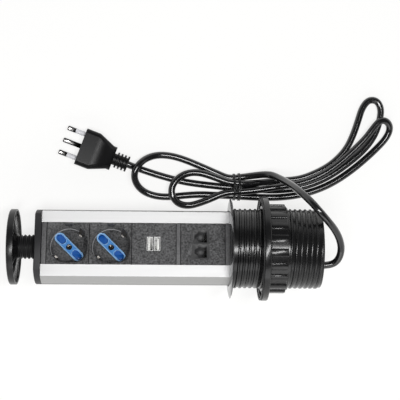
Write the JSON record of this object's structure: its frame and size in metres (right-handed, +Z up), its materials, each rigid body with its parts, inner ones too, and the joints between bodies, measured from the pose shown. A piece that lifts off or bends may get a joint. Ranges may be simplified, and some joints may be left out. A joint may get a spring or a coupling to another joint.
{
  "type": "pop up desk socket",
  "caption": "Retractable round desk socket tower with mains, charging and network outlets, pull cap, threaded collar, ring nut and tied mains lead with plug.",
  "frame": {"origin": "on the table, under the middle of the box of the tower, collar, nut and cap, without the mains lead and plug", "axes": "the part lies on its side: +X along the tower from the pull cap to the cord end, tilted up 3.4 degrees; +Y across, towards the tied lead; +Z up, with the socket face looking up and rolled 15.4 degrees towards +Y"},
  "size_m": [0.3948, 0.2096, 0.1037],
  "materials": {
    "brushed_silver": "anodised silver, satin",
    "chrome_ring": "turned and polished",
    "black_plastic": "moulded, semi matt",
    "black_cap": "moulded, satin",
    "face_plastic": "fine matt",
    "blue_plastic": "moulded, slightly glossy",
    "dark_blue_plastic": "moulded",
    "spring_steel": "bright strip and wire",
    "contact_brass": "plated strip",
    "screw_steel": "bright",
    "port_nickel": "nickel plated",
    "plug_nickel": "nickel plated",
    "tongue_plastic": "moulded",
    "board_green": "lacquered board",
    "jack_plastic": "moulded",
    "contact_grey": "plated wire",
    "supply_plastic": "taped coil and can",
    "rubber_black": "soft, matt",
    "felt_grey": "pressed felt",
    "wire_brown": "smooth insulation",
    "wire_blue": "smooth insulation",
    "wire_green": "smooth insulation",
    "cord_sheath": "smooth flexible sheath",
    "plug_plastic": "moulded, glossy",
    "sleeve_grey": "moulded",
    "tie_plastic": "coated wire"
  },
  "bodies": {
    "collar": {"threaded_collar": "black_plastic", "flange_ring": "chrome_ring", "flange_gasket": "rubber_black", "friction_ring": "felt_grey"},
    "tower": {"tower_extrusion": "brushed_silver", "top_end_plate": "black_plastic", "bottom_end_cap": "black_plastic", "module_channel": "black_plastic", "cover_strip": "black_plastic", "cord_saddle": "black_plastic", "top_strip": "face_plastic", "spacer_strip": "face_plastic", "end_strip": "face_plastic", "usb_module": "face_plastic", "network_module": "face_plastic", "socket_1_body": "face_plastic", "socket_2_body": "face_plastic", "socket_1_insert": "blue_plastic", "socket_2_insert": "blue_plastic", "socket_1_earth_clips": "spring_steel", "socket_2_earth_clips": "spring_steel", "cap_spring": "spring_steel", "socket_1_contacts": "contact_brass", "socket_2_contacts": "contact_brass", "top_plate_screws": "screw_steel", "bottom_cap_screws": "screw_steel", "usb_shells": "port_nickel", "plug_pins": "plug_nickel", "usb_tongues": "tongue_plastic", "usb_board": "board_green", "supply_board": "board_green", "jack_housings": "jack_plastic", "jack_contacts": "contact_grey", "supply_parts": "supply_plastic", "neck_bellows": "rubber_black", "cord_bush": "rubber_black", "wire_line": "wire_brown", "wire_neutral": "wire_blue", "wire_earth": "wire_green", "lead_cord": "cord_sheath", "cord_hank": "cord_sheath", "plug_tail": "cord_sheath", "inner_sheath": "cord_sheath", "plug_body": "plug_plastic", "plug_relief": "plug_plastic", "plug_sleeves": "sleeve_grey", "hank_tie": "tie_plastic"},
    "cap": {"pull_cap": "black_cap", "cap_stem": "spring_steel", "stem_clip": "spring_steel"},
    "slip_ring": {"slip_ring": "black_plastic"},
    "nut": {"ring_nut": "black_plastic"},
    "shutter_1": {"socket_1_shutter": "dark_blue_plastic"},
    "shutter_2": {"socket_2_shutter": "dark_blue_plastic"}
  },
  "joints": [
    {"name": "tower_slide", "type": "slide", "parent": "collar", "child": "tower", "axis": [0.9983, 0, 0.0583], "range_m": [0, 0.215]},
    {"name": "cap_push", "type": "slide", "parent": "tower", "child": "cap", "axis": [0.9983, 0, 0.0583], "range_m": [0, 0.004], "stiffness_N_per_m": 1200, "springref_m": -0.003, "deforming": ["neck_bellows", "cap_spring"]},
    {"name": "nut_travel", "type": "slide", "parent": "collar", "child": "slip_ring", "axis": [0.9983, 0, 0.0583], "range_m": [-0.0235, 0.015]},
    {"name": "nut_turn", "type": "hinge", "parent": "slip_ring", "child": "nut", "pos_m": [0.10313, 0, 0.0523], "axis": [0.9983, 0, 0.0583], "range_deg": [-840, 536]},
    {"name": "shutter_1_slide", "type": "slide", "parent": "tower", "child": "shutter_1", "axis": [-0.7168, -0.6817, 0.1463], "range_m": [0, 0.006], "stiffness_N_per_m": 60, "springref_m": -0.002},
    {"name": "shutter_2_slide", "type": "slide", "parent": "tower", "child": "shutter_2", "axis": [-0.7168, -0.6817, 0.1463], "range_m": [0, 0.006], "stiffness_N_per_m": 60, "springref_m": -0.002}
  ],
  "couplings": [
    {"joint": "nut_travel", "follows": "nut_turn", "m_per_rad": 0.0015915}
  ]
}
